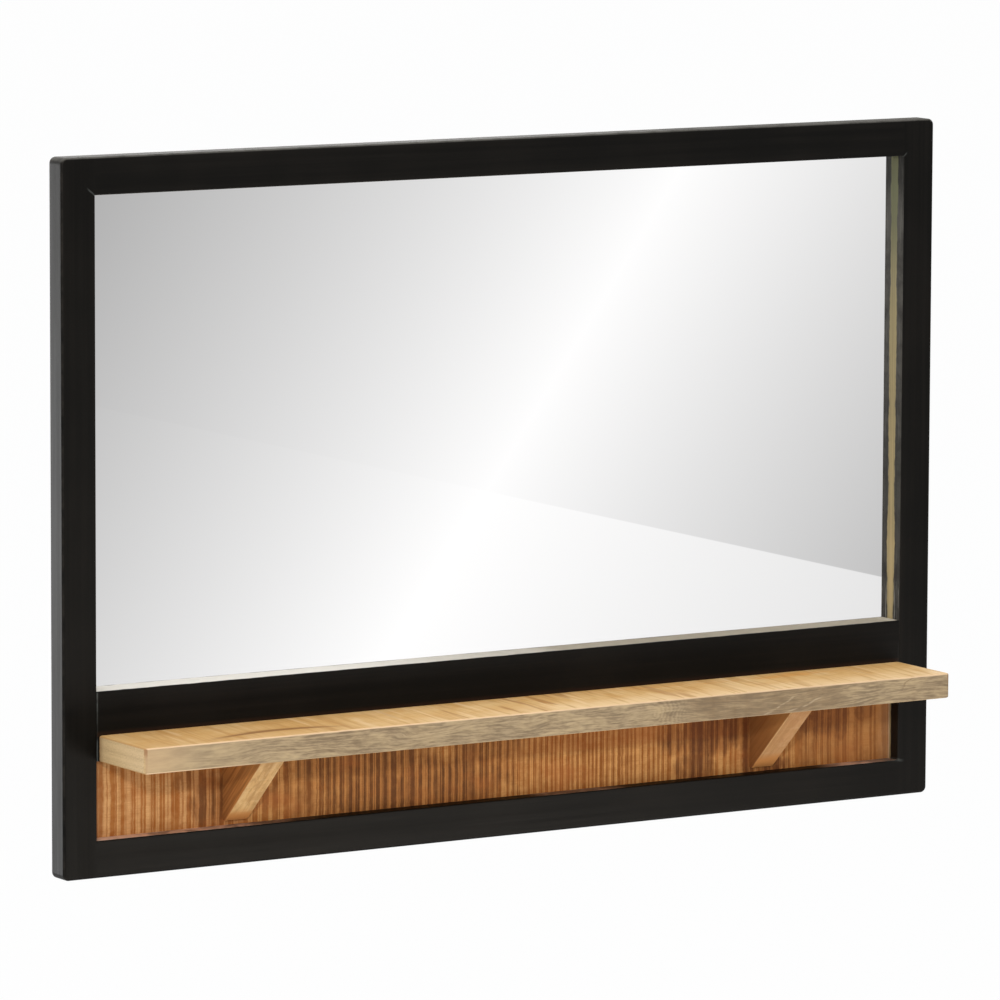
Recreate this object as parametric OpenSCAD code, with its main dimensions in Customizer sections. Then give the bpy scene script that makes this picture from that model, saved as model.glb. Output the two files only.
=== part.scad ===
// Wall mirror with a shelf: a black wooden frame holds a mirror above and a
// rough-sawn panel below, and a board shelf stands on two triangular brackets.
// X runs along the width, -Y faces the room and +Z is up. The origin lies on
// the wall, midway between the entry holes of the two keyhole plates.

/* [Frame] */
// Width of the frame
frame_w = 800; // [600:10:1200]
// Height of the frame
frame_h = 550; // [420:10:900]
// Thickness of the frame, front to back
frame_t = 20; // [19:0.5:26]
// Face width of the stiles and of the top and bottom rails
member_w = 29; // [27:1:40]
// Radius of the frame's outer corners, seen from the front
corner_r = 5; // [4:0.5:12]
// Radius of the sanded outer edges
outer_arris_r = 2; // [0.5:0.25:3]
// Radius of the sanded front edges around the openings
inner_arris_r = 1; // [0.5:0.25:3]

/* [Frame joints] */
// Length of each tenon
tenon_l = 18; // [12:1:22]
// Thickness of each tenon
tenon_t = 6; // [4:0.5:7]
// Distance from the frame's front face to each tenon
tenon_setback = 4; // [3:0.5:4.5]
// Shoulder above and below each tenon
tenon_shoulder = 6; // [4:0.5:8]
// Room for glue around each tenon
glue_gap = 0.15; // [0.05:0.05:0.3]
// Room at the end of each tenon
tenon_end_gap = 0.5; // [0.25:0.25:2]

/* [Mirror] */
// Thickness of the silvered glass
glass_t = 4; // [3:0.5:5]
// How far the glass rebate reaches behind the frame's face
glass_lap = 5; // [4:0.5:6]
// Room around the glass in its rebate
glass_gap = 0.5; // [0.25:0.25:1]
// Thickness of the backing board
board_t = 3; // [2:0.5:4]
// Width of the ledge that the backing board is screwed to
ledge_w = 6; // [5.5:0.5:7]
// Room around the backing board and the lower panel
board_gap = 0.5; // [0.25:0.25:0.75]

/* [Lower panel] */
// Thickness of the rough-sawn panel
panel_t = 8; // [6:0.5:9.5]
// How far the panel's rebate reaches behind the frame's face
panel_lap = 7; // [6.5:0.5:8]

/* [Shelf] */
// Height of the shelf's top above the bottom of the frame
shelf_height = 110; // [104:1:160]
// Thickness of the shelf
shelf_t = 20; // [16:0.5:22]
// How far the shelf stands out from the frame
shelf_reach = 73; // [62:1:120]
// Gap between each end of the shelf and the stile beside it
shelf_end_gap = 1; // [0.5:0.5:20]
// Radius of the shelf's corners, seen from above
shelf_corner_r = 3; // [2:0.5:10]
// Radius of the shelf's sanded edges
shelf_arris_r = 1.5; // [0.5:0.25:2]
// Height of the middle rail above the shelf's top
rail_show = 33.5; // [26:0.5:60]

/* [Brackets] */
// Distance between the middles of the two brackets
bracket_spacing = 488; // [300:4:540]
// Thickness of each bracket
bracket_t = 20.5; // [14:0.5:26]
// Depth of each bracket, from the panel along the shelf
bracket_depth = 60; // [50:1:72]
// Height of each bracket, from the shelf down the panel
bracket_drop = 57; // [48:1:60]
// Height of the blunt end at each tip of a bracket
bracket_toe = 4; // [2:0.5:6]
// Radius of each bracket's sanded front edges
bracket_arris_r = 1; // [0.5:0.25:2]

/* [Screws and dowels] */
// Radius of the screws that hold the shelf to the middle rail
shelf_screw_r = 2; // [1.75:0.25:2.5]
// Length of the shelf screws
shelf_screw_l = 55; // [40:1:58]
// Number of shelf screws
shelf_screws_n = 5; // [3:1:7]
// Distance from each end of the shelf to its nearest screw
shelf_screw_inset = 52; // [40:2:80]
// Radius of the screws that hold the brackets to the panel
bracket_screw_r = 1.75; // [1.5:0.25:2]
// Length of the bracket screws
bracket_screw_l = 28; // [20:1:30]
// Distance from the shelf down to the upper bracket screw
bracket_screw_drop = 11; // [9:1:13]
// Distance between the two screws of one bracket
bracket_screw_step = 15; // [11:1:17]
// Radius of the screws that hold the panel, the backing board and the plates
small_screw_r = 1.4; // [1.25:0.05:1.5]
// Length of the panel screws
panel_screw_l = 14; // [12:1:16]
// Length of the backing board screws and the plate screws
board_screw_l = 12; // [8:1:14]
// Widest spacing of the panel and backing board screws
screw_pitch = 180; // [120:10:260]
// Distance from the corner of an opening to the nearest screw
screw_inset = 26; // [20:1:40]
// Depth of a screw's head below the surface
head_sink = 0.2; // [0.1:0.1:0.5]
// Radius of the dowel between each bracket and the shelf
dowel_r = 3; // [2.5:0.25:4]
// Length of the dowels
dowel_l = 18; // [12:1:18]
// Distance from the panel to each dowel
dowel_setback = 37; // [30:1:40]
// Room around each screw and dowel in its hole
fastener_gap = 0.1; // [0.05:0.05:0.2]

/* [Hangers] */
// Distance from the top of the frame down to the entry holes
hanger_drop = 60; // [55:1:150]
// Width of each keyhole plate
plate_w = 12; // [11:0.5:13]
// Length of each keyhole plate
plate_l = 44; // [40:1:60]
// Thickness of each keyhole plate
plate_t = 1.5; // [1:0.25:2.5]
// Room around each keyhole plate in its recess
plate_gap = 0.2; // [0.1:0.05:0.4]
// Radius of a keyhole's entry hole
entry_r = 4; // [3.5:0.25:4.5]
// Half the width of a keyhole's slot
slot_r = 2; // [1.5:0.25:2.25]
// Rise of a keyhole's slot above its entry hole
slot_rise = 8; // [6:0.5:10]
// Depth of the recess for a wall screw's head, from the back of the frame
head_recess = 8; // [5:0.5:12]

/* [Hidden] */
$fn = 48;
eps = 0.01;           // keeps a cut or a join clear of a face that it would only graze
over = 1;             // how far a cut runs past the face that it opens
head_ratio = 1.9;     // a countersunk head's radius over its shank's
tip_ratio = 2.5;      // length of a screw's point over its radius
blunt_ratio = 0.2;    // radius at the very end of the point over the shank's
drive_ratio = 0.55;   // reach of a screw's cross recess over its head's radius
drive_depth = 0.5;    // depth of the recess over the shank's radius
drive_blade = 0.15;   // half the width of its arms over the shank's radius
head_margin = 1;      // wood left beside a shelf screw's head
recess_margin = 1;    // room around a wall screw's head in its recess
foot_room = 1;        // least room between a bracket's foot and the bottom rail
paint_black = [0.09, 0.085, 0.08];
honey_wood = [0.80, 0.64, 0.42];
sawn_wood = [0.62, 0.36, 0.18];
bracket_wood = [0.72, 0.52, 0.32];
zinc = [0.72, 0.72, 0.70];

// Heights
top_z = hanger_drop;
bottom_z = top_z - frame_h;
inner_top_z = top_z - member_w;
inner_bottom_z = bottom_z + member_w;
shelf_top_z = bottom_z + shelf_height;
shelf_bottom_z = shelf_top_z - shelf_t;
rail_top_z = shelf_top_z + rail_show;
rail_bottom_z = shelf_bottom_z;

// Openings and depths
inner_w = frame_w - 2 * member_w;
mirror_h = inner_top_z - rail_top_z;
glass_front_y = -(board_t + glass_t);
board_lap = glass_lap + ledge_w;

// Shelf and brackets
shelf_w = inner_w - 2 * shelf_end_gap;
bracket_x = bracket_spacing / 2;
bracket_h = min(bracket_drop, shelf_bottom_z - inner_bottom_z - foot_room);
bracket_angle = atan2(bracket_h - bracket_toe, bracket_depth - bracket_toe);
bracket_slope_l = norm([bracket_depth - bracket_toe, bracket_h - bracket_toe]);
dowel_z = shelf_bottom_z - dowel_l / 2;

// Hangers: each plate is centred on the flat of the stile's back
land_w = member_w - board_lap;
plate_x = frame_w / 2 - (outer_arris_r + land_w) / 2;
keyhole_mid_z = (slot_rise + slot_r - entry_r) / 2;
plate_end_z = plate_l / 2 - plate_w / 2;

// Screw lines
ledge_mid = glass_lap + ledge_w / 2;
panel_screw_lap = (panel_lap - board_gap) / 2;
row_run = inner_w - 2 * screw_inset;
column_run = mirror_h - 2 * screw_inset;
row_xs = spread(row_run, screw_pitch);
column_zs = [for (z = spread(column_run, screw_pitch)) z + (inner_top_z + rail_top_z) / 2];
shelf_screw_z = shelf_bottom_z + panel_lap + head_ratio * shelf_screw_r + head_margin;
shelf_screw_xs = [
    for (i = [0:shelf_screws_n - 1])
        (i / (shelf_screws_n - 1) - 0.5) * (shelf_w - 2 * shelf_screw_inset)
];

// Evenly spaced places along a run, centred on zero, no further apart than the pitch
function spread(run, pitch) =
    let (n = ceil(run / pitch))
    [for (i = [0:n]) (i / n - 0.5) * run];

// ---------- shared shapes ----------

module rounded_rect(w, h, r) {
    square([w - 2 * r, h], center = true);
    square([w, h - 2 * r], center = true);
    for (x = [-1, 1], y = [-1, 1])
        translate([x * (w / 2 - r), y * (h / 2 - r)])
            circle(r);
}

// A board with rounded corners and sanded edges, its thickness along +Z
module soft_slab(w, h, t, r, edge) {
    linear_extrude(t)
        rounded_rect(w - 2 * edge, h - 2 * edge, r - edge);
    translate([0, 0, edge])
        linear_extrude(t - 2 * edge)
            rounded_rect(w, h, r);
    for (z = [edge, t - edge])
        translate([0, 0, z])
            slab_rim(w, h, r, edge);
}

// The round edge of a soft slab: a rod along each side and a bend at each corner
module slab_rim(w, h, r, edge) {
    for (side = [-1, 1]) {
        translate([0, side * (h / 2 - edge), 0])
            rotate([0, 90, 0])
                cylinder(h = w - 2 * r, r = edge, center = true);
        translate([side * (w / 2 - edge), 0, 0])
            rotate([90, 0, 0])
                cylinder(h = h - 2 * r, r = edge, center = true);
    }
    for (corner = [0:3])
        translate([(corner % 3 == 0 ? 1 : -1) * (w / 2 - r), (corner < 2 ? 1 : -1) * (h / 2 - r), 0])
            rotate([0, 0, corner * 90])
                rotate_extrude(angle = 90)
                    translate([r - edge, 0])
                        circle(edge);
}

// What sanding takes off an outside edge that runs along X; the edge is at the
// origin and the wood fills -Y and -Z
module arris_cut(length, r) {
    rotate([90, 0, 90])
        linear_extrude(length, center = true)
            difference() {
                translate([-r, -r])
                    square(r + over);
                translate([-r, -r])
                    circle(r);
            }
}

// The children, and their mirror image on the other side of the middle
module both_sides() {
    children();
    mirror([1, 0, 0])
        children();
}

// A box given by its limits along each axis
module span_box(xs, ys, zs) {
    translate([xs[0], ys[0], zs[0]])
        cube([xs[1] - xs[0], ys[1] - ys[0], zs[1] - zs[0]]);
}

// Two round ends joined by straight sides, standing along Z and cut through Y
module upright_slot(r, z0, z1, ys) {
    for (z = [z0, z1])
        translate([0, ys[1], z])
            rotate([90, 0, 0])
                cylinder(h = ys[1] - ys[0], r = r);
    span_box([-r, r], ys, [z0, z1]);
}

// ---------- screws and dowels ----------

// A countersunk screw driven towards -Y, its head's face at the origin
module screw(r, length, grow = 0) {
    head_r = head_ratio * r;
    rotate([90, 0, 0]) {
        cylinder(h = head_r - r, r1 = head_r + grow, r2 = r + grow);
        cylinder(h = length - tip_ratio * r + grow, r = r + grow);
        translate([0, 0, length - tip_ratio * r + grow])
            cylinder(h = tip_ratio * r, r1 = r + grow, r2 = blunt_ratio * r + grow);
    }
}

// The same screw with its cross recess, sunk just below the back
module driven_screw(r, length) {
    reach = drive_ratio * head_ratio * r;
    translate([0, -head_sink, 0])
        difference() {
            screw(r, length);
            for (turn = [0, 90])
                rotate([0, turn, 0])
                    span_box([-reach, reach], [-drive_depth * r, over], [-drive_blade * r, drive_blade * r]);
        }
}

// The hole for it, with its countersink open to the back
module screw_hole(r, length) {
    translate([0, -head_sink, 0])
        screw(r, length, fastener_gap);
    translate([0, over, 0])
        rotate([90, 0, 0])
            cylinder(h = over + head_sink, r = head_ratio * r + fastener_gap);
}

module shelf_screw_places() {
    for (x = shelf_screw_xs)
        translate([x, 0, shelf_screw_z])
            children();
}

module panel_screw_places() {
    for (x = row_xs, z = [rail_bottom_z + panel_screw_lap, inner_bottom_z - panel_screw_lap])
        translate([x, 0, z])
            children();
}

module board_screw_places() {
    for (x = row_xs, z = [inner_top_z + ledge_mid, rail_top_z - ledge_mid])
        translate([x, 0, z])
            children();
    for (side = [-1, 1], z = column_zs)
        translate([side * (inner_w / 2 + ledge_mid), 0, z])
            children();
}

module bracket_screw_places() {
    for (side = [-1, 1], step = [0, 1])
        translate([side * bracket_x, 0, shelf_bottom_z - bracket_screw_drop - step * bracket_screw_step])
            children();
}

module plate_screw_places() {
    for (side = [-1, 1], end = [-1, 1])
        translate([side * plate_x, 0, keyhole_mid_z + end * plate_end_z])
            children();
}

module dowel_pins(grow = 0) {
    for (side = [-1, 1])
        translate([side * bracket_x, -panel_t - dowel_setback, dowel_z - grow])
            cylinder(h = dowel_l + 2 * grow, r = dowel_r + grow);
}

// ---------- frame ----------

module frame_blank() {
    translate([0, 0, (top_z + bottom_z) / 2])
        rotate([90, 0, 0])
            soft_slab(frame_w, frame_h, frame_t, corner_r, outer_arris_r);
}

// Rebates for the glass, the backing board and the lower panel
module rebates() {
    glass_half = inner_w / 2 + glass_lap;
    board_half = inner_w / 2 + board_lap;
    panel_half = inner_w / 2 + panel_lap;
    span_box(
        [-glass_half, glass_half],
        [glass_front_y, over],
        [rail_top_z - glass_lap, inner_top_z + glass_lap]
    );
    span_box(
        [-board_half, board_half],
        [-board_t, over],
        [rail_top_z - board_lap, inner_top_z + board_lap]
    );
    span_box(
        [-panel_half, panel_half],
        [-panel_t, over],
        [inner_bottom_z - panel_lap, rail_bottom_z + panel_lap]
    );
}

// Sanded front edge around the whole inside of the frame
module inner_arris() {
    r = inner_arris_r;
    reach = inner_w / 2 + r;
    mid_z = (inner_top_z + inner_bottom_z) / 2;
    tall = inner_top_z - inner_bottom_z + 2 * r;
    difference() {
        span_box([-reach, reach], [-frame_t - over, -frame_t + r], [mid_z - tall / 2, mid_z + tall / 2]);
        for (z = [inner_bottom_z - r, inner_top_z + r])
            translate([0, -frame_t + r, z])
                rotate([0, 90, 0])
                    cylinder(h = 2 * (reach + over), r = r, center = true);
        for (x = [-reach, reach])
            translate([x, -frame_t + r, mid_z])
                cylinder(h = tall + 2 * over, r = r, center = true);
    }
}

// The tenons at both ends of a rail, or the mortises for them when grown
module tenons(z0, z1, grow = 0, end_gap = 0) {
    reach = inner_w / 2 + tenon_l + end_gap;
    y0 = -frame_t + tenon_setback;
    both_sides()
        span_box(
            [inner_w / 2 - eps, reach],
            [y0 - grow, y0 + tenon_t + grow],
            [z0 + tenon_shoulder - grow, z1 - tenon_shoulder + grow]
        );
}

// A keyhole plate's outline, or the pocket for it when grown
module plate_blank(grow = 0, above = 0) {
    upright_slot(
        plate_w / 2 + grow,
        keyhole_mid_z - plate_end_z,
        keyhole_mid_z + plate_end_z,
        [-plate_t, above]
    );
}

module left_keyhole_recess() {
    translate([-plate_x, 0, 0]) {
        plate_blank(plate_gap, over);
        upright_slot(entry_r + recess_margin, 0, slot_rise, [-head_recess, over]);
    }
}

module stile() {
    difference() {
        intersection() {
            frame_blank();
            span_box(
                [-frame_w / 2 - over, -inner_w / 2],
                [-frame_t - over, over],
                [bottom_z - over, top_z + over]
            );
        }
        rebates();
        inner_arris();
        tenons(inner_top_z, top_z, glue_gap, tenon_end_gap);
        tenons(rail_bottom_z, rail_top_z, glue_gap, tenon_end_gap);
        tenons(bottom_z, inner_bottom_z, glue_gap, tenon_end_gap);
        left_keyhole_recess();
        board_screw_places() screw_hole(small_screw_r, board_screw_l);
        plate_screw_places() screw_hole(small_screw_r, board_screw_l);
    }
}

module left_stile() {
    color(paint_black)
        stile();
}

module right_stile() {
    color(paint_black)
        mirror([1, 0, 0])
            stile();
}

module top_rail() {
    color(paint_black)
        difference() {
            union() {
                intersection() {
                    frame_blank();
                    span_box(
                        [-inner_w / 2, inner_w / 2],
                        [-frame_t - over, over],
                        [inner_top_z, top_z + over]
                    );
                }
                tenons(inner_top_z, top_z);
            }
            rebates();
            inner_arris();
            board_screw_places() screw_hole(small_screw_r, board_screw_l);
        }
}

module middle_rail() {
    color(paint_black)
        difference() {
            union() {
                span_box([-inner_w / 2, inner_w / 2], [-frame_t, 0], [rail_bottom_z, rail_top_z]);
                tenons(rail_bottom_z, rail_top_z);
            }
            rebates();
            translate([0, -frame_t, rail_top_z])
                rotate([90, 0, 0])
                    arris_cut(inner_w + 2 * over, inner_arris_r);
            board_screw_places() screw_hole(small_screw_r, board_screw_l);
            panel_screw_places() screw_hole(small_screw_r, panel_screw_l);
            shelf_screw_places() screw_hole(shelf_screw_r, shelf_screw_l);
        }
}

module bottom_rail() {
    color(paint_black)
        difference() {
            union() {
                intersection() {
                    frame_blank();
                    span_box(
                        [-inner_w / 2, inner_w / 2],
                        [-frame_t - over, over],
                        [bottom_z - over, inner_bottom_z]
                    );
                }
                tenons(bottom_z, inner_bottom_z);
            }
            rebates();
            inner_arris();
            panel_screw_places() screw_hole(small_screw_r, panel_screw_l);
        }
}

// ---------- mirror ----------

module mirror_pane() {
    half = inner_w / 2 + glass_lap - glass_gap;
    color([0.85, 0.88, 0.90])
        span_box(
            [-half, half],
            [glass_front_y, -board_t],
            [rail_top_z - glass_lap + glass_gap, inner_top_z + glass_lap - glass_gap]
        );
}

module backing_board() {
    half = inner_w / 2 + board_lap - board_gap;
    color([0.55, 0.40, 0.26])
        difference() {
            span_box(
                [-half, half],
                [-board_t, 0],
                [rail_top_z - board_lap + board_gap, inner_top_z + board_lap - board_gap]
            );
            board_screw_places() screw_hole(small_screw_r, board_screw_l);
        }
}

module backing_board_screws() {
    color(zinc)
        board_screw_places() driven_screw(small_screw_r, board_screw_l);
}

// ---------- lower panel ----------

module lower_panel() {
    half = inner_w / 2 + panel_lap - board_gap;
    color(sawn_wood)
        difference() {
            span_box(
                [-half, half],
                [-panel_t, 0],
                [inner_bottom_z - panel_lap + board_gap, rail_bottom_z + panel_lap - board_gap]
            );
            panel_screw_places() screw_hole(small_screw_r, panel_screw_l);
            bracket_screw_places() screw_hole(bracket_screw_r, bracket_screw_l);
        }
}

module panel_screws() {
    color(zinc)
        panel_screw_places() driven_screw(small_screw_r, panel_screw_l);
}

// ---------- shelf and brackets ----------

module shelf_board() {
    color(honey_wood)
        difference() {
            translate([0, -frame_t - shelf_reach / 2, shelf_bottom_z])
                soft_slab(shelf_w, shelf_reach, shelf_t, shelf_corner_r, shelf_arris_r);
            shelf_screw_places() screw_hole(shelf_screw_r, shelf_screw_l);
            dowel_pins(fastener_gap);
        }
}

module shelf_screws() {
    color(zinc)
        shelf_screw_places() driven_screw(shelf_screw_r, shelf_screw_l);
}

// A triangular gusset: its back lies on the panel and its top under the shelf
module bracket(x) {
    color(bracket_wood)
        difference() {
            translate([x, -panel_t, shelf_bottom_z])
                difference() {
                    rotate([90, 0, -90])
                        linear_extrude(bracket_t, center = true)
                            polygon([
                                [0, 0],
                                [bracket_depth, 0],
                                [bracket_depth, -bracket_toe],
                                [bracket_toe, -bracket_h],
                                [0, -bracket_h]
                            ]);
                    both_sides()
                        translate([
                            bracket_t / 2,
                            -(bracket_depth + bracket_toe) / 2,
                            -(bracket_h + bracket_toe) / 2
                        ])
                            rotate([180 - bracket_angle, 0, 0])
                                translate([0, 0, eps])
                                    rotate([0, 0, -90])
                                        arris_cut(bracket_slope_l + 2 * bracket_toe, bracket_arris_r);
                }
            bracket_screw_places() screw_hole(bracket_screw_r, bracket_screw_l);
            dowel_pins(fastener_gap);
        }
}

module left_bracket() {
    bracket(-bracket_x);
}

module right_bracket() {
    bracket(bracket_x);
}

module bracket_screws() {
    color(zinc)
        bracket_screw_places() driven_screw(bracket_screw_r, bracket_screw_l);
}

module bracket_dowels() {
    color([0.86, 0.74, 0.55])
        dowel_pins();
}

// ---------- hangers ----------

// A flush steel plate: a screw's head goes in at the entry hole, and the
// mirror then drops until the screw's shank is at the top of the slot
module keyhole_plate(side) {
    color(zinc)
        difference() {
            translate([side * plate_x, 0, 0])
                difference() {
                    plate_blank();
                    translate([0, over, 0])
                        rotate([90, 0, 0])
                            cylinder(h = plate_t + 2 * over, r = entry_r);
                    upright_slot(slot_r, 0, slot_rise, [-plate_t - over, over]);
                }
            plate_screw_places() screw_hole(small_screw_r, board_screw_l);
        }
}

module left_keyhole_plate() {
    keyhole_plate(-1);
}

module right_keyhole_plate() {
    keyhole_plate(1);
}

module keyhole_plate_screws() {
    color(zinc)
        plate_screw_places() driven_screw(small_screw_r, board_screw_l);
}

left_stile();
right_stile();
top_rail();
middle_rail();
bottom_rail();
mirror_pane();
backing_board();
backing_board_screws();
lower_panel();
panel_screws();
shelf_board();
shelf_screws();
left_bracket();
right_bracket();
bracket_screws();
bracket_dowels();
left_keyhole_plate();
right_keyhole_plate();
keyhole_plate_screws();
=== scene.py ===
"""Finishes, studio and camera for a wall mirror with a shelf.

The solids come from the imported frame. This file gives each one its finish,
and sets up the floor, the lamps, the card that the mirror shows and the camera.
"""

import math
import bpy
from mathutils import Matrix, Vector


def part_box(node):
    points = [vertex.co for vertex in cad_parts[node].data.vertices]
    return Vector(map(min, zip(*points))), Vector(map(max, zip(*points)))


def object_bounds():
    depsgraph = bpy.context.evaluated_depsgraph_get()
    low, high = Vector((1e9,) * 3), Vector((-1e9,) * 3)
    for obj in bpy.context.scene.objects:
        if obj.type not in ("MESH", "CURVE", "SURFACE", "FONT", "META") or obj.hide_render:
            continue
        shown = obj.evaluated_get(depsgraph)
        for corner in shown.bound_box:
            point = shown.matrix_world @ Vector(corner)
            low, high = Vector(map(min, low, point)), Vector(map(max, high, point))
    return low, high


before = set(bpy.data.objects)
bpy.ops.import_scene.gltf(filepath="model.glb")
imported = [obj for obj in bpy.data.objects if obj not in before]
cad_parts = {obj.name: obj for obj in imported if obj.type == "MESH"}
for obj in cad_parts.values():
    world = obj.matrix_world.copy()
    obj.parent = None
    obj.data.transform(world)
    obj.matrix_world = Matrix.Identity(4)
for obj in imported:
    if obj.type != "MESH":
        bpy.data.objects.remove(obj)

from types import SimpleNamespace

import bpy
from bpy.props import FloatProperty, FloatVectorProperty, PointerProperty
from mathutils import Matrix, Vector

bl_info = {
    "name": "Wall Mirror with Shelf",
    "version": (1, 0, 0),
    "blender": (4, 5, 0),
    "location": "3D View > Sidebar > Mirror",
    "description": "Finishes and studio for a black-framed wall mirror with a wooden shelf",
    "category": "Object",
}

CAD_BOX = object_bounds()
STILES = ("left_stile", "right_stile")
RAILS = ("top_rail", "middle_rail", "bottom_rail")
BRACKETS = ("left_bracket", "right_bracket")
PLATES = ("left_keyhole_plate", "right_keyhole_plate")
SCREWS = (
    "backing_board_screws", "panel_screws", "shelf_screws", "bracket_screws", "keyhole_plate_screws",
)

# Where the openings and the faces are, read from the solids
INNER_HALF = -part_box("left_stile")[1].x
MIRROR_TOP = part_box("top_rail")[0].z
MIRROR_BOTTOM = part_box("middle_rail")[1].z
PANEL_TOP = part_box("middle_rail")[0].z
PANEL_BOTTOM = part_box("bottom_rail")[1].z
FRAME_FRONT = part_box("top_rail")[0].y
GLASS_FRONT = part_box("mirror_pane")[0].y
PANEL_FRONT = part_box("lower_panel")[0].y
SHELF_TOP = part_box("shelf_board")[1].z

# How far the rebates reach behind the openings, a little more than their boards do
REBATE_ROOM = 0.0007
BOARD_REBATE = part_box("backing_board")[1].x - INNER_HALF + REBATE_ROOM
PANEL_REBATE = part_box("lower_panel")[1].x - INNER_HALF + REBATE_ROOM


# ---------- sizes and colours that a user would change ----------


def colour(name, default, description):
    """A colour property with plain 0 to 1 channels."""
    return FloatVectorProperty(
        name=name, description=description, default=default, subtype="COLOR", size=3, min=0.0, max=1.0
    )


def length(name, default, description, high=1.0):
    """A length property in metres."""
    return FloatProperty(
        name=name, description=description, default=default, min=0.0, max=high, unit="LENGTH", precision=4
    )


class FrameFinish(bpy.types.PropertyGroup):
    """Black paint on the frame, and the wood that it leaves bare beside the glass."""

    paint: colour("Paint", (0.0026, 0.0022, 0.0016), "Colour of the black paint")
    thin_paint: colour("Thin paint", (0.0060, 0.0048, 0.0036), "Colour where the paint lies thin")
    rubbed: colour("Rubbed edges", (0.017, 0.014, 0.011), "Colour along the rubbed edges")
    # Pale lines at the joints and corners: filler, and a painted highlight on the seams
    putty_and_highlight: colour("Putty", (0.070, 0.074, 0.068), "Colour of the filler in the joints")
    # Inside the openings this colour is also a painted sheen of the satin paint on the reveal beside the
    # glass
    dust: colour("Dust", (0.105, 0.098, 0.086), "Colour of the dusty paint on top and inside the openings")
    # The sill's beige-grey is bare wood, and partly a painted sheen of the face at a grazing angle
    sill: colour("Worn sill", (0.33, 0.29, 0.225), "Colour of the worn face below the glass")
    ledge: colour("Dusty ledge", (0.80, 0.54, 0.42), "Colour of the dusty face below the panel")
    bare: colour("Bare wood", (0.37, 0.29, 0.15), "Colour of the wood that has no paint")
    bare_dark: colour("Bare wood grain", (0.21, 0.17, 0.09), "Colour of the grain in the bare wood")
    bare_depth: length("Bare band", 0.0046, "Width of the unpainted band beside the glass", 0.02)


class PanelFinish(bpy.types.PropertyGroup):
    """Rough-sawn panel with upright saw marks."""

    light: colour("Light stripes", (0.66, 0.335, 0.114), "Colour of the light stripes")
    middle: colour("Dark stripes", (0.33, 0.110, 0.024), "Colour of the stripes between them")
    dark: colour("Burnt wood", (0.120, 0.046, 0.017), "Colour where the saw has burnt the wood")
    stripe: length("Stripe width", 0.0070, "Usual distance between two saw marks", 0.05)


class ShelfFinish(bpy.types.PropertyGroup):
    """Honey-coloured board with fine saw marks."""

    honey: colour("Honey", (0.685, 0.450, 0.200), "Colour of the light wood")
    pale: colour("Pale wood", (0.80, 0.58, 0.33), "Colour of the palest wood")
    amber: colour("Amber streaks", (0.50, 0.265, 0.080), "Colour of the darker streaks")
    edge: colour("Front edge", (0.450, 0.330, 0.186), "Colour of the greyer front edge")
    grain: colour("Grain", (0.175, 0.122, 0.072), "Colour of the wavy grain on the front edge")


class BracketFinish(bpy.types.PropertyGroup):
    """Sawn gussets: a light slope and darker sides."""

    slope: colour("Slope", (0.64, 0.375, 0.148), "Colour of the sloping face")
    side: colour("Sides", (0.51, 0.205, 0.056), "Colour of the side faces")
    shade: colour("Grain", (0.29, 0.118, 0.036), "Colour of the darker grain")


class StudioSet(bpy.types.PropertyGroup):
    """Camera, floor and the card that the mirror shows."""

    camera_place: FloatVectorProperty(
        name="Camera", description="Where the camera stands", default=(-3.0567, -4.8877, 0.5180),
        size=3, subtype="TRANSLATION", unit="LENGTH",
    )
    camera_turn: FloatProperty(
        name="Turn", description="Turn of the camera from straight ahead", default=math.radians(32.033),
        subtype="ANGLE",
    )
    camera_tilt: FloatProperty(
        name="Tilt", description="How far the camera looks down", default=math.radians(7.355),
        subtype="ANGLE",
    )
    camera_roll: FloatProperty(
        name="Roll", description="Roll of the camera", default=math.radians(0.228), subtype="ANGLE",
    )
    lens: FloatProperty(
        name="Lens", description="Focal length in millimetres", default=266.73, min=10.0, max=600.0,
    )
    floor_drop: length("Floor", 0.62, "Distance from the mirror down to the floor", 3.0)
    card_distance: length("Card distance", 3.5, "Distance from the mirror to the card that it shows", 9.0)


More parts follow.
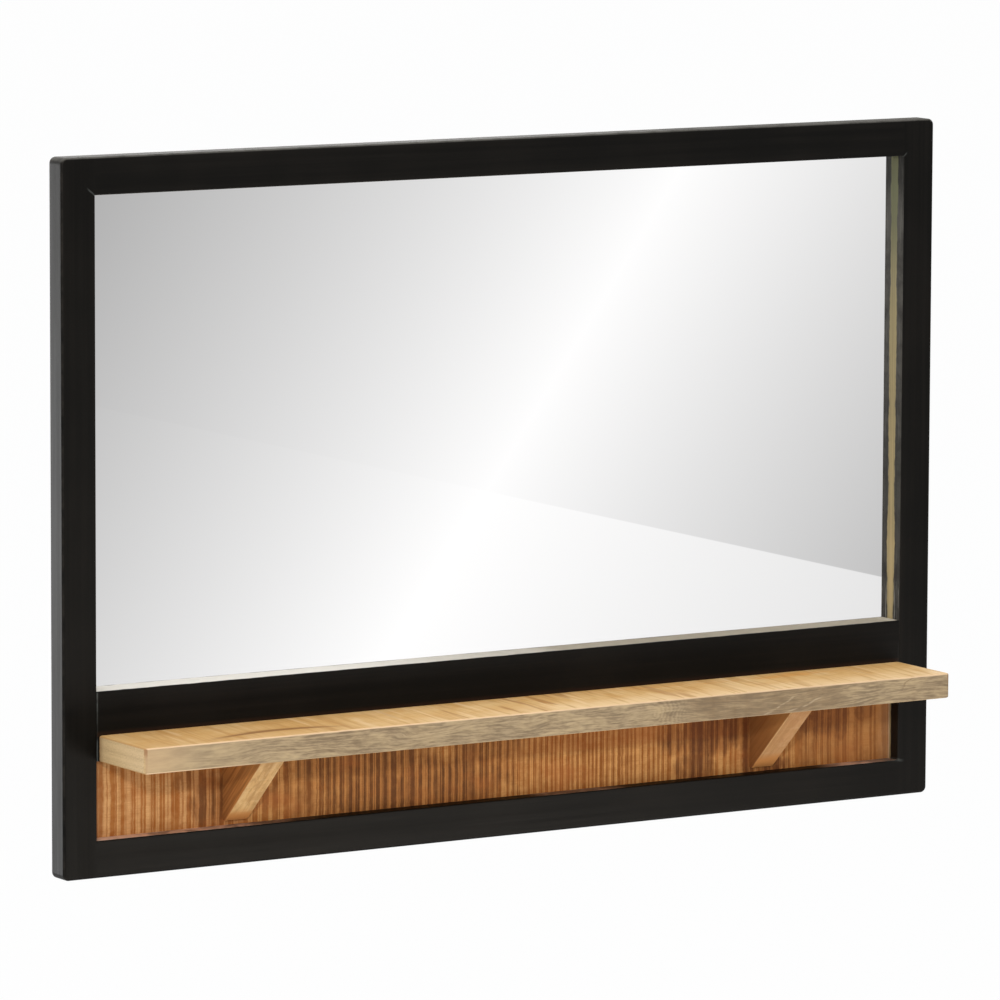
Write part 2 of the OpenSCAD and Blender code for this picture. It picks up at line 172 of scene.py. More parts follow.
class Tone:
    """Colours of single marks, which no property changes, as plain 0 to 1 channels."""

    # Paint, and the bare wood of the frame
    # Painted light: lifts the reveal beside the panel out of its shade
    reveal_painted_light = (0.0130, 0.0095, 0.0070)
    scuffed_paint = (0.34, 0.33, 0.30)
    # Painted reflection: a brown tint that stands in for the shelf mirrored in the satin paint just above
    # it
    painted_shelf_reflection = (0.026, 0.011, 0.005)
    # Painted reflection: the sill grows pale toward the left, standing in for the bright glass mirrored on
    # its grazing face
    sill_left_painted_reflection = (0.70, 0.67, 0.61)
    sill_middle_painted_reflection = (0.47, 0.435, 0.375)
    sill_dirt = (0.24, 0.21, 0.155)
    sill_corner = (0.44, 0.40, 0.32)
    bare_top = (0.110, 0.116, 0.066)
    bare_top_grain = (0.165, 0.158, 0.100)

    # Mirror pane
    silver = (0.962, 0.958, 0.954)
    back_paint = (0.16, 0.17, 0.18)
    back_paint_fleck = (0.22, 0.23, 0.24)
    glass_edge = (0.10, 0.22, 0.17)
    glass_edge_fleck = (0.16, 0.30, 0.24)

    # Lower panel
    panel_left = (0.66, 0.365, 0.155)
    panel_deep = (0.185, 0.058, 0.013)
    panel_red = (0.42, 0.130, 0.035)
    panel_shade = (0.36, 0.095, 0.022)
    panel_right = (0.36, 0.140, 0.038)
    panel_smudge = (0.125, 0.040, 0.015)
    panel_rim = (0.38, 0.185, 0.085)
    panel_lit_edge = (0.55, 0.37, 0.22)

    # Shelf
    shelf_tan = (0.61, 0.355, 0.125)
    shelf_back = (0.66, 0.315, 0.080)
    shelf_deep_saw = (0.40, 0.195, 0.060)
    shelf_vein = (0.25, 0.115, 0.035)
    edge_grey = (0.335, 0.245, 0.145)
    edge_warm = (0.215, 0.140, 0.075)
    edge_crack = (0.54, 0.41, 0.26)
    edge_left_highlight = (0.53, 0.35, 0.19)
    edge_split = (0.16, 0.10, 0.055)
    end_light = (0.62, 0.44, 0.23)
    end_dark = (0.46, 0.315, 0.16)
    # Painted shade at the back of the shelf's ends
    end_back_painted_shade = (0.26, 0.13, 0.055)
    # Painted highlight on the sanded front edges of the shelf
    front_arris_highlight = (0.80, 0.55, 0.33)
    end_arris = (0.42, 0.22, 0.075)
    end_corner = (0.28, 0.13, 0.055)

    # Brackets
    slope_streak = (0.36, 0.185, 0.065)
    slope_dark = (0.42, 0.225, 0.085)
    slope_light = (0.76, 0.51, 0.25)
    slope_saw = (0.74, 0.52, 0.27)
    slope_right = (0.41, 0.170, 0.072)
    slope_patch = (0.44, 0.225, 0.080)
    side_light = (0.52, 0.27, 0.095)
    side_right = (0.25, 0.098, 0.030)
    bracket_arris = (0.68, 0.42, 0.19)

    # Hidden pieces
    board_dark = (0.20, 0.098, 0.039)
    board_light = (0.32, 0.172, 0.075)
    dowel_light = (0.72, 0.51, 0.27)
    dowel_dark = (0.48, 0.31, 0.14)
    zinc_bright = (0.66, 0.67, 0.67)
    zinc_dull = (0.50, 0.50, 0.47)

    # Studio
    white = (1.0, 1.0, 1.0)
    warm_light = (1.0, 0.90, 0.78)
    soft_sky = (0.84, 0.86, 0.88)
    floor = (0.86, 0.86, 0.86)


# ---------- shader recipes ----------


class Value:
    """A shader socket in ordinary sums, so that 1 - mask adds its own Math nodes."""

    def __init__(self, recipe, socket):
        self.recipe = recipe
        self.socket = socket

    def _math(self, operation, first, second=0.0):
        return self.recipe.node("Math", {"operation": operation}, {0: first, 1: second})

    def __add__(self, other):
        return self._math("ADD", self, other)

    def __sub__(self, other):
        return self._math("SUBTRACT", self, other)

    def __rsub__(self, other):
        return self._math("SUBTRACT", other, self)

    def __mul__(self, other):
        return self._math("MULTIPLY", self, other)

    def __pow__(self, other):
        return self._math("POWER", self, other)

    def __lt__(self, other):
        return self._math("LESS_THAN", self, other)

    def __gt__(self, other):
        return self._math("GREATER_THAN", self, other)

    def __abs__(self):
        return self._math("ABSOLUTE", self)

    __radd__ = __add__
    __rmul__ = __mul__

    def at_least(self, other):
        """The larger of the two."""
        return self._math("MAXIMUM", self, other)

    def at_most(self, other):
        """The smaller of the two."""
        return self._math("MINIMUM", self, other)


class Recipe:
    """The node tree of one material or world. Every node comes from node()."""

    def __init__(self, name, owner=None):
        self.material = owner or bpy.data.materials.new(name)
        self.material.use_nodes = True
        self.tree = self.material.node_tree
        self.tree.nodes.clear()
        self.place = None
        self.facing = None

    def node(self, kind, settings=None, sockets=None, out=0):
        """Adds a node: its settings first, then the values or links of its sockets."""
        made = self.tree.nodes.new("ShaderNode" + kind)
        for key, value in (settings or {}).items():
            setattr(made, key, value)
        for key, value in (sockets or {}).items():
            if isinstance(value, Value):
                self.tree.links.new(value.socket, made.inputs[key])
            elif value is not None:
                made.inputs[key].default_value = value
        return Value(self, made.outputs[out]) if made.outputs else made

    def split(self, vector):
        """The three parts of a vector."""
        node = self.node("SeparateXYZ", None, {0: vector}).socket.node
        return [Value(self, out) for out in node.outputs]

    def object_place(self):
        """The place on the piece, in metres."""
        if self.place is None:
            self.place = self.node("TexCoord", None, None, out="Object")
        return self.place

    def surface_facing(self):
        """The direction that the surface faces."""
        if self.facing is None:
            self.facing = self.split(self.node("TexCoord", None, None, out="Normal"))
        return self.facing

    def mapped(self, scale, shift=(0.0, 0.0, 0.0), turn=None, source=None):
        """The place, turned first, then stretched and shifted."""
        place = source or self.object_place()
        if turn:
            place = self.node("Mapping", None, {"Vector": place, "Rotation": turn})
        return self.node("Mapping", None, {"Vector": place, "Scale": scale, "Location": shift})

    def noise(self, scale, detail=2.0, rough=0.5, shift=(0.0, 0.0, 0.0), turn=None, bend=0.0, source=None):
        """Noise with its own scale along each axis, from 0 to 1."""
        return self.node(
            "TexNoise", None,
            {
                "Vector": self.mapped(scale, shift, turn, source),
                "Scale": 1.0, "Detail": detail, "Roughness": rough, "Distortion": bend,
            },
        )

    def between(self, value, low, high, start=0.0, end=1.0):
        """A smooth step from start to end while value goes from low to high."""
        return self.node(
            "MapRange", {"interpolation_type": "SMOOTHSTEP"},
            {"Value": value, "From Min": low, "From Max": high, "To Min": start, "To Max": end},
        )

    def near(self, value, centre, full, none, inside=1.0, outside=0.0):
        """A smooth step from inside to outside while value leaves its centre."""
        return self.between(abs(value - centre), full, none, inside, outside)

    def blend(self, share, first, second):
        """Mixes two colours."""
        first, second = (c if isinstance(c, Value) else (*c, 1.0) for c in (first, second))
        return self.node("Mix", {"data_type": "RGBA"}, {0: share, 6: first, 7: second}, out=2)

    def layers(self, ground, *marks):
        """Lays marks over a ground in their order. A mark is its share and its colour."""
        for share, shade in marks:
            ground = self.blend(share, ground, shade)
        return ground

    def wave(self, turns):
        """A sine wave from -1 to 1, given how many turns it has made."""
        return self.node("Math", {"operation": "SINE"}, {0: turns * math.tau})

    def bump(self, height, distance, strength=1.0, below=None):
        """A bump of a real height, on top of another one where given."""
        return self.node(
            "Bump", None, {"Height": height, "Distance": distance, "Strength": strength, "Normal": below}
        )

    def shown_rays(self):
        """The rays that show the background: to the camera, off a gloss and through glass."""
        path = self.node("LightPath").socket.node.outputs
        kinds = ("Camera", "Glossy", "Transmission")
        camera, glossy, through = (Value(self, path[f"Is {kind} Ray"]) for kind in kinds)
        return camera.at_least(glossy).at_least(through)

    def arris(self):
        """Where two faces meet in a sanded edge."""
        nx, ny, nz = (abs(n) for n in self.surface_facing())
        return self.between(nx * ny + ny * nz + nx * nz, 0.12, 0.42)

    def mixed_surface(self, share, first, second):
        """Ends a material or world with a mix of two shaders."""
        output = "OutputMaterial" if isinstance(self.material, bpy.types.Material) else "OutputWorld"
        self.node(output, None, {"Surface": self.node("MixShader", None, {0: share, 1: first, 2: second})})

    def finish(self, **sockets):
        """Ends a surface with the main shader and gives the material back."""
        named = {key.replace("_", " "): value for key, value in sockets.items()}
        self.node("OutputMaterial", None, {"Surface": self.node("BsdfPrincipled", None, named)})
        return self.material


# ---------- the black frame ----------


def frame_fields(r, upright):
    """The places, noises and regions that all layers of the frame's finish share."""
    x, y, z = r.split(r.object_place())
    nx, _, nz = r.surface_facing()
    along, across = 5.0, 420.0
    grain_scale = (across, across, along) if upright else (along, across, across)
    f = SimpleNamespace(x=x, z=z, nx=nx, nz=nz)
    f.grain = r.noise(grain_scale, 3.0, 0.6)
    f.pores = r.noise(tuple(2.4 * s for s in grain_scale), 2.0, 0.7, shift=(3.1, 0.7, 5.3))
    f.brush = r.noise(tuple(0.35 * s for s in grain_scale), 2.0, 0.5, shift=(9.3, 2.7, 0.4))
    f.cloud = r.noise((7.0, 7.0, 7.0), 3.0, 0.6, shift=(1.3, 4.1, 2.2))
    f.patchy = r.noise((60.0, 60.0, 60.0), 3.0, 0.7)

    # Depth with a wobble, so that no edge of the paint is straight
    short_wobble = (r.noise((90.0, 90.0, 90.0), 2.0, 0.6, shift=(2.0, 8.0, 1.0)) - 0.5) * 0.0030
    long_wobble = (r.noise((20.0, 20.0, 22.0), 2.0, 0.6, shift=(5.0, 3.0, 9.0)) - 0.5) * 0.0040
    f.wavy_y = y + (short_wobble + long_wobble)

    f.beside_mirror = abs(x) < INNER_HALF + BOARD_REBATE
    f.beside_mirror = f.beside_mirror * (z > MIRROR_BOTTOM - BOARD_REBATE) * (z < MIRROR_TOP + BOARD_REBATE)
    f.beside_panel = abs(x) < INNER_HALF + PANEL_REBATE
    f.beside_panel = f.beside_panel * (z > PANEL_BOTTOM - PANEL_REBATE) * (z < PANEL_TOP + PANEL_REBATE)
    f.on_top = r.between(nz, 0.20, 0.85) * (z > MIRROR_TOP + 0.010)
    f.upward = r.between(nz, 0.80, 0.95) * (abs(x) < INNER_HALF)
    f.sill = f.upward * f.beside_mirror
    return f


def worn_paint(r, f, finish):
    """Black paint: thin in places, rubbed on its edges, dusty on top, and inside the openings worn and
    greyed with painted sheen, with painted light on the reveal beside the panel.
    """
    thin = r.between(f.cloud * 0.55 + f.grain * 0.25 + f.brush * 0.2, 0.42, 0.66)
    off_openings = r.between(abs(f.x), INNER_HALF + 0.010, INNER_HALF + 0.016, 0.15, 1.0)
    rubbed = r.arris() * off_openings * r.between(f.patchy, 0.35, 0.70)
    dusty = f.on_top * r.between(f.patchy, 0.30, 0.60, 0.55, 1.0)

    inward = (f.nx * f.x) < -0.25
    # Wear and painted sheen: the reveal beside the glass is greyed, standing in for the satin paint's sheen
    # there
    reveal = inward * f.beside_mirror
    worn_and_sheen = r.between(f.z, MIRROR_BOTTOM, MIRROR_TOP, 0.35, 0.65)
    worn_and_sheen = worn_and_sheen * r.between(f.patchy * 0.6 + f.brush * 0.4, 0.35, 0.58, 0.45, 1.0)
    worn_and_sheen = worn_and_sheen * r.between(f.z, MIRROR_TOP - 0.040, MIRROR_TOP - 0.018, 1.0, 0.35)
    scratches = r.noise((700.0, 700.0, 30.0), 2.0, 0.6, shift=(6.0, 2.0, 3.0))
    scuff = r.between(scratches, 0.58, 0.70)
    scuff = scuff * r.between(f.z, MIRROR_BOTTOM + 0.02, MIRROR_BOTTOM + 0.06, 1.0, 0.15)
    return r.layers(
        finish.paint,
        (thin, finish.thin_paint),
        (rubbed, finish.rubbed),
        (dusty, finish.dust),
        (reveal * worn_and_sheen, finish.dust),
        # Painted light: the reveal beside the panel is lifted out of its shade to about the tone of the
        # front
        (inward * f.beside_panel * 0.8, Tone.reveal_painted_light),
        (reveal * scuff * 0.7, Tone.scuffed_paint),
    )


def dusty_ledge(r, f):
    """Where dust lies on the face below the panel: at the left, at the right and a little in between."""
    dust = f.upward * f.beside_panel * r.between(f.patchy * 0.5 + f.cloud * 0.5, 0.42, 0.56, 0.35, 0.95)
    at_left = r.between(f.x, -0.27, -0.17, 1.0, 0.0)
    at_right = r.between(f.x, 0.290, 0.335)
    return dust * at_left.at_least(at_right).at_least(r.near(f.x, 0.065, 0.020, 0.050, 0.45))


def joint_line(r, f):
    """Filler where the middle rail meets the stiles, a pale line that is also a painted highlight on the
    seam. At the right it stops just above the shelf.
    """
    line = r.between(abs(abs(f.x) - INNER_HALF + 0.0004), 0.0003, 0.0009, 1.0, 0.0) * (f.nz < 0.5)
    line = line * (f.z < MIRROR_BOTTOM) * (f.z > PANEL_TOP - 0.002)
    broken = r.noise((20.0, 20.0, 55.0), 3.0, 0.6, shift=(4.0, 4.0, 4.0))
    line = line * r.between(broken, 0.40, 0.60, 0.15, 0.85)
    line = line * r.between(f.z, SHELF_TOP + 0.010, SHELF_TOP + 0.018, 1.0, 0.0).at_least(f.x < 0.0)
    return line * r.between(f.x, -0.1, 0.1, 1.0, 0.45)


# Pale lines out from the openings' corners, filler that at the mirror's top corners is also a painted
# highlight on the mitre seams: side, height, rise, middle, reach and thickness
CORNER_LINES = (
    (-1.0, MIRROR_TOP, 0.8, 0.0018, 0.0060, 0.0011),
    (1.0, MIRROR_TOP, 0.8, 0.00078, 0.0026, 0.0009),
    (1.0, PANEL_BOTTOM, -0.06, -0.0035, 0.0110, 0.0016),
)


def corner_line(r, f, side, height, rise, middle, reach, thick):
    """A thin pale line of filler, partly a painted highlight, that runs out from one corner of an opening.
    """
    out = f.x * side - INNER_HALF
    off_line = abs(f.z - height - out * rise + (f.patchy - 0.5) * 0.003)
    return r.between(off_line, thick * 0.3, thick, 0.50, 0.0) * r.near(out, middle, reach * 0.4, reach)


def bare_places(r, f, depth):
    """Where the frame has no paint: a band beside the glass, a thin one beside the panel, and the sill."""
    by_glass = GLASS_FRONT - depth
    by_panel = PANEL_FRONT - depth * 0.4
    beside_glass = r.between(f.wavy_y, by_glass - 0.0007, by_glass + 0.0007) * f.beside_mirror
    beside_wood = r.between(f.wavy_y, by_panel - 0.0004, by_panel + 0.0004) * f.beside_panel
    on_sill = f.sill * r.between(f.wavy_y, FRAME_FRONT + 0.0010, FRAME_FRONT + 0.0022)
    return (beside_glass.at_least(beside_wood) * (1.0 - f.upward)).at_least(on_sill)


def bare_wood(r, f, finish):
    """The frame's wood without paint: greener toward the top, and pale and dirty on the sill, where a
    painted reflection turns it near white toward the left.
    """
    toward_top = r.between(f.z, MIRROR_BOTTOM + 0.10, MIRROR_TOP)
    clean = r.between(f.grain * 0.6 + f.cloud * 0.4, 0.35, 0.65) * (1.0 - toward_top * 0.75)
    sill = r.layers(
        finish.sill,
        # Painted reflection: pale grey in the middle and near white at the left, in place of the bright
        # glass that the sill mirrors
        (r.between(f.x, 0.015, 0.065, 1.0, 0.0), Tone.sill_middle_painted_reflection),
        (r.between(f.patchy * 0.6 + f.cloud * 0.4, 0.35, 0.62, 0.45, 0.0), Tone.sill_dirt),
        (r.between(f.x + (f.patchy - 0.5) * 0.03, 0.352, 0.364, 0.0, 0.8), Tone.sill_corner),
        (r.between(f.x + (f.patchy - 0.5) * 0.05, -0.18, 0.05, 0.90, 0.0), Tone.sill_left_painted_reflection),
    )
    return r.layers(
        finish.bare_dark,
        (toward_top, Tone.bare_top_grain),
        (clean, finish.bare),
        (r.between(f.z, MIRROR_TOP - 0.110, MIRROR_TOP - 0.040, 0.0, 0.75), Tone.bare_top),
        (f.sill, sill),
    )


def black_paint(name, finish, upright):
    """Satin black paint over a grain that runs up or across, with bare wood in the rebates."""
    r = Recipe(name)
    f = frame_fields(r, upright)
    # Painted reflection of the shelf in the satin paint: a brown tint just above the shelf's top
    shelf_reflection = r.between(f.z, SHELF_TOP + 0.0005, SHELF_TOP + 0.0040, 0.60, 0.0) * (f.z > SHELF_TOP - 0.001)
    painted = r.layers(
        worn_paint(r, f, finish),
        (dusty_ledge(r, f), finish.ledge),
        (joint_line(r, f), finish.putty_and_highlight),
        (shelf_reflection * (abs(f.x) < INNER_HALF), Tone.painted_shelf_reflection),
        *((corner_line(r, f, *line), finish.putty_and_highlight) for line in CORNER_LINES),
    )
    bare = bare_places(r, f, finish.bare_depth)
    satin = r.between(f.brush * 0.6 + f.pores * 0.4, 0.3, 0.7, 0.36, 0.50)
    matt = (bare * 0.78).at_least(f.on_top * r.between(f.x, 0.0, 0.32, 0.55, 0.85))
    return r.finish(
        Base_Color=r.blend(bare, painted, bare_wood(r, f, finish)),
        Roughness=satin.at_least(matt),
        Specular_IOR_Level=0.08,
        Normal=r.bump(f.pores, 0.00006, 0.35, r.bump(f.grain, 0.00010, 0.55)),
    )


# ---------- the mirror pane ----------


def silvered_glass():
    """A mirror: bright in front, green at its edges and painted behind."""
    r = Recipe("silvered glass")
    _, facing_y, _ = r.surface_facing()
    front = facing_y < -0.5
    back = facing_y > 0.5
    speckle = r.noise((900.0, 900.0, 900.0), 2.0, 0.6)
    veil = r.noise((5.0, 5.0, 5.0), 3.0, 0.6)
    paint = r.blend(speckle, Tone.back_paint, Tone.back_paint_fleck)
    edge = r.blend(speckle, Tone.glass_edge, Tone.glass_edge_fleck)
    matt = 0.35
    return r.finish(
        Base_Color=r.blend(front, r.blend(back, edge, paint), Tone.silver),
        Metallic=front,
        Roughness=front * (r.between(veil, 0.5, 0.8, 0.0, 0.012) - matt) + matt,
    )


# ---------- the lower panel ----------


# Burnt places on the panel: centre across and up, reach across and up, depth
BLOTCHES = (
    (-0.262, -0.441, 0.024, 0.018, 0.85),
    (-0.285, -0.424, 0.014, 0.010, 0.50),
    (-0.130, -0.418, 0.075, 0.026, 0.90),
    (-0.165, -0.446, 0.060, 0.022, 0.60),
    (-0.070, -0.450, 0.085, 0.034, 1.00),
    (-0.020, -0.414, 0.040, 0.020, 0.75),
    (-0.034, -0.436, 0.012, 0.040, 0.80),
    (0.192, -0.424, 0.042, 0.022, 1.00),
    (0.180, -0.452, 0.020, 0.014, 0.80),
    (0.262, -0.456, 0.016, 0.008, 0.70),
    (0.232, -0.425, 0.009, 0.040, 0.90),
    (0.308, -0.421, 0.032, 0.020, 1.00),
    (0.346, -0.421, 0.012, 0.008, 0.80),
    (0.325, -0.440, 0.060, 0.030, 0.42),
    (0.255, -0.462, 0.012, 0.006, 0.90),
)


def saw_marks(r, x, width, fade, stripe):
    """Share of light wood: upright stripes of uneven width, scored by finer ones."""
    lean = r.noise((9.0, 0.0, 22.0), 1.0, 0.5, shift=(0.4, 0.0, 5.0)) - 0.5
    drift = r.noise((20.0, 0.0, 0.0), 1.0, 0.5, shift=(3.7, 0.0, 0.0)) - 0.5
    shake = r.noise((75.0, 0.0, 0.0), 1.0, 0.5, shift=(1.9, 0.0, 0.0)) - 0.5
    ragged = r.noise((34.0, 0.0, 240.0), 2.0, 0.6, shift=(5.5, 0.0, 1.0)) - 0.5

    # Marks are wide at the left, close together in the middle and wider again at the right
    pitch = 1.0 / stripe
    count = x * (0.72 * pitch) + (x + 0.17).at_least(0.0) * (0.28 * pitch)
    count = count + x.at_least(0.0) * (0.40 * pitch)
    count = count - (x - 0.15).at_least(0.0) * (0.45 * pitch)
    count = count + drift * 2.6 + shake * 0.9 + lean * 0.22
    count = count + shake * r.between(x, 0.030, 0.060, 0.0, 1.3)
    count = count + ragged * 0.10
    light = r.between(r.wave(count) - width * 2.2, -0.30, 0.30)

    fine = r.wave(count * 2.63 + shake * 1.7)
    scored = r.noise((34.0, 0.0, 3.0), 1.0, 0.5, shift=(2.8, 0.0, 6.0))
    light = light * r.between(fine, 0.45, 0.80, 1.0, 0.62) * r.between(fine * scored, 0.38, 0.50, 1.0, 0.45)
    light = light.at_least(r.between(fine * (1.0 - scored), -0.50, -0.32, 0.62, 0.0))
    light = light * r.between(fade, 0.32, 0.50, 0.55, 1.0)
    mottle = r.noise((240.0, 1.0, 130.0), 3.0, 0.65, shift=(5.1, 0.0, 3.0))
    return (light + (mottle - 0.5) * 0.95).at_least(0.0).at_most(1.0)


def burnt_places(r, x, z, width, cloud, frond):
    """The blotches with ragged rims, and faint burns between them."""
    burnt = r.between(cloud, 0.30, 0.46, 0.35, 0.0)
    for across, up, wide, tall, depth in BLOTCHES:
        off = ((x - across) * (1.0 / wide)) ** 2.0 + ((z - up) * (1.0 / tall)) ** 2.0
        ragged = off + (frond + cloud - 1.0) * 2.6 - width * 1.5
        burnt = burnt.at_least(r.between(ragged, 0.25, 1.35, depth, 0.0))
    return burnt


def sawn_panel(finish):
    """Rough-sawn wood: crisp upright saw marks of uneven width, burnt dark in places."""
    r = Recipe("rough-sawn panel")
    x, _, z = r.split(r.object_place())
    width = r.noise((48.0, 0.0, 2.0), 1.0, 0.5, shift=(7.3, 0.0, 0.0)) - 0.5
    fade = r.noise((60.0, 1.0, 16.0), 2.0, 0.6, shift=(6.3, 0.0, 4.0))
    smear = r.noise((70.0, 1.0, 120.0), 3.0, 0.6, shift=(1.2, 0.0, 7.0))
    cloud = r.noise((14.0, 1.0, 24.0), 3.0, 0.6, shift=(4.4, 0.0, 2.0))
    fibre = r.noise((60.0, 1.0, 900.0), 2.0, 0.6, shift=(8.4, 0.0, 3.0))
    frond = r.noise((140.0, 1.0, 34.0), 3.0, 0.65, shift=(2.2, 0.0, 8.0))
    light = saw_marks(r, x, width, fade, finish.stripe)
    burnt = burnt_places(r, x, z, width, cloud, frond)

    pale = r.layers(
        finish.light,
        (r.between(x, -0.28, -0.22, 0.8, 0.0), Tone.panel_left),
        (r.between(smear * 0.6 + fibre * 0.4, 0.35, 0.65, 0.42, 0.0), finish.middle),
        (burnt * 0.62, finish.middle),
    )
    deep = r.layers(
        finish.middle,
        (r.between(smear, 0.35, 0.70, 0.0, 0.22), finish.light),
        (r.near(x, 0.095, 0.050, 0.090, 0.40), Tone.panel_deep),
        (burnt * 0.92, finish.dark),
    )

    reddish = r.noise((18.0, 1.0, 30.0), 3.0, 0.6, shift=(7.7, 0.0, 9.0))
    in_shade = r.between(z + (smear - 0.5) * 0.004, -0.4315, -0.4275) * r.between(x, -0.02, 0.06)
    far_right = r.between(x + (cloud - 0.5) * 0.03, 0.255, 0.285, 0.0, 0.38)
    smudge = burnt * r.between(x, 0.12, 0.17, 0.0, 0.60)
    smudge = smudge * r.between(frond * 0.5 + smear * 0.5, 0.36, 0.54, 0.45, 1.0)
    smudge = smudge * r.between(light, 0.0, 1.0, 1.15, 0.70)

    # The panel's ends, but not the part of them that lies hidden in the rebates
    shown = INNER_HALF + 0.001
    rim = r.between(abs(x) + (smear - 0.5) * 0.010, INNER_HALF - 0.016, INNER_HALF - 0.002, 0.0, 0.50)
    lit_edge = r.between(x + (smear - 0.5) * 0.0012, INNER_HALF - 0.0018, INNER_HALF - 0.0008, 0.0, 0.65)
    wood = r.layers(
        deep,
        (light, pale),
        (r.between(reddish, 0.50, 0.72, 0.0, 0.40), Tone.panel_red),
        (in_shade * 0.28, Tone.panel_shade),
        (far_right, Tone.panel_right),
        (smudge, Tone.panel_smudge),
        (rim * (abs(x) < shown), Tone.panel_rim),
        (lit_edge * (x < shown), Tone.panel_lit_edge),
    )
    rough = r.noise((500.0, 500.0, 160.0), 3.0, 0.7)
    return r.finish(
        Base_Color=wood,
        Roughness=r.between(smear * 0.5 + fade * 0.5, 0.3, 0.7, 0.50, 0.68),
        Specular_IOR_Level=0.04,
        Normal=r.bump(rough, 0.00010, 0.5, r.bump(light, 0.00030, 0.5)),
    )


# ---------- the shelf ----------


def shelf_fields(r):
    """The places, directions and noises that all faces of the shelf share."""
    x, y, z = r.split(r.object_place())
    nx, ny, nz = r.surface_facing()
    s = SimpleNamespace(x=x, y=y, z=z, nx=nx, ny=ny, nz=nz)
    askew = (0.0, 0.0, math.radians(4.5))
    s.fibre = r.noise((30.0, 900.0, 900.0), 3.0, 0.6, shift=(2.0, 1.0, 4.0))
    s.cloud = r.noise((5.0, 22.0, 22.0), 3.0, 0.6, shift=(1.0, 6.0, 2.0), bend=0.4)
    s.soft = r.noise((24.0, 26.0, 26.0), 3.0, 0.6, shift=(4.0, 2.0, 6.0), turn=askew, bend=0.6)
    s.flame = r.noise((7.0, 120.0, 120.0), 3.0, 0.55, shift=(4.0, 2.0, 6.0), bend=0.4)
    s.saw = r.noise((260.0, 14.0, 14.0), 2.0, 0.5, shift=(4.0, 0.0, 0.0), turn=askew, bend=0.35)
    s.deep_saw = r.noise((110.0, 11.0, 11.0), 2.0, 0.5, shift=(1.0, 3.0, 0.0), turn=askew, bend=0.35)

    # The front edge's fibres follow the swings of its grain
    s.swing = r.noise((8.0, 1.0, 30.0), 2.0, 0.5, shift=(2.0, 0.0, 9.0), bend=0.5) - 0.5
    bent = r.node("CombineXYZ", None, {0: x, 1: y, 2: z + s.swing * 0.016})
    s.fibres = r.noise((26.0, 1.0, 780.0), 4.0, 0.75, shift=(3.0, 0.0, 5.0), source=bent)
    s.flecks = r.noise((95.0, 1.0, 560.0), 2.0, 0.6, shift=(5.0, 0.0, 2.0), source=bent)
    s.patches = r.noise((30.0, 1.0, 110.0), 3.0, 0.65, shift=(6.0, 0.0, 1.0), source=bent)
    return s


def shelf_top(r, s, finish):
    """Top and underside: amber streaks, cross saw marks, and one curved vein near the left end."""
    paler = r.between(s.y + (s.cloud - 0.5) * 0.05, -0.092, -0.050, 0.62, 0.0)
    paler = paler * r.between(s.x, -0.22, 0.12, 0.25, 1.0)
    at_back = r.between(s.y + (s.soft - 0.5) * 0.02, -0.046, -0.036)
    at_back = at_back * r.near(s.x, 0.19, 0.06, 0.13, 1.0, 0.25)
    near_middle = r.near(s.x, 0.02, 0.05, 0.16, 1.0, 0.40)
    off_vein = abs(s.y + 0.0655 + ((s.x + 0.238) ** 2.0) * 3.5 + (s.flame - 0.5) * 0.008)
    along_vein = r.near(s.x, -0.245, 0.030, 0.070)
    return r.layers(
        finish.honey,
        (r.between(s.soft, 0.36, 0.62, 0.0, 0.85), Tone.shelf_tan),
        (paler, finish.pale),
        (at_back * r.between(s.flame, 0.42, 0.58, 0.1, 0.85), Tone.shelf_back),
        (r.between(s.saw, 0.30, 0.43, 0.55, 0.0), finish.pale),
        (r.between(s.saw, 0.54, 0.66, 0.0, 0.55), finish.amber),
        (r.between(s.deep_saw, 0.55, 0.68, 0.0, 0.85) * near_middle, Tone.shelf_deep_saw),
        (r.between(s.fibre, 0.56, 0.74, 0.0, 0.25), finish.amber),
        (r.between(s.x, -0.30, -0.05, 0.30, 0.0), finish.amber),
        (r.between(off_vein, 0.004, 0.018, 0.45, 0.0) * along_vein, finish.amber),
        (r.between(off_vein, 0.0010, 0.0060, 0.85, 0.0) * along_vein, Tone.shelf_vein),
    )


# Fine cracks beside the right bracket: height below zero, start, rise, middle and reach along the shelf
CRACKS = (
    (0.4010, 0.185, 0.42, 0.203, 0.022),
    (0.4030, 0.195, 0.30, 0.212, 0.014),
    (0.3950, 0.225, 0.26, 0.236, 0.012),
)


def crack_mark(r, s, low, start, rise, middle, reach):
    """One pale crack that climbs to the right across the front edge."""
    stray = (s.swing * 0.6 + s.cloud - 0.5) * 0.010
    off_crack = abs(s.z + low - (s.x - start) * rise + stray + (s.patches - 0.5) * 0.005)
    crack = r.between(off_crack, 0.0001, 0.0010, 0.50, 0.0) * r.near(s.x, middle, reach * 0.5, reach)
    return crack * r.between(s.flecks, 0.40, 0.58, 0.25, 1.0)


def knotted_fibres(r, s):
    """Short dark fibres that turn into rings round a knot at the right of the middle."""
    knot_x, knot_z = 0.086, -0.391
    off_knot = (((s.x - knot_x) * 0.9) ** 2.0 + (s.z - knot_z) ** 2.0) ** 0.5
    by_knot = r.between(off_knot, 0.012, 0.036, 1.0, 0.0) * (s.x > knot_x)
    rings = r.wave(off_knot * 300.0 + s.swing * 7.0 + (s.flecks - 0.5) * 1.4) * 0.10 + 0.5
    return s.fibres + (rings - s.fibres) * (by_knot * 0.5)


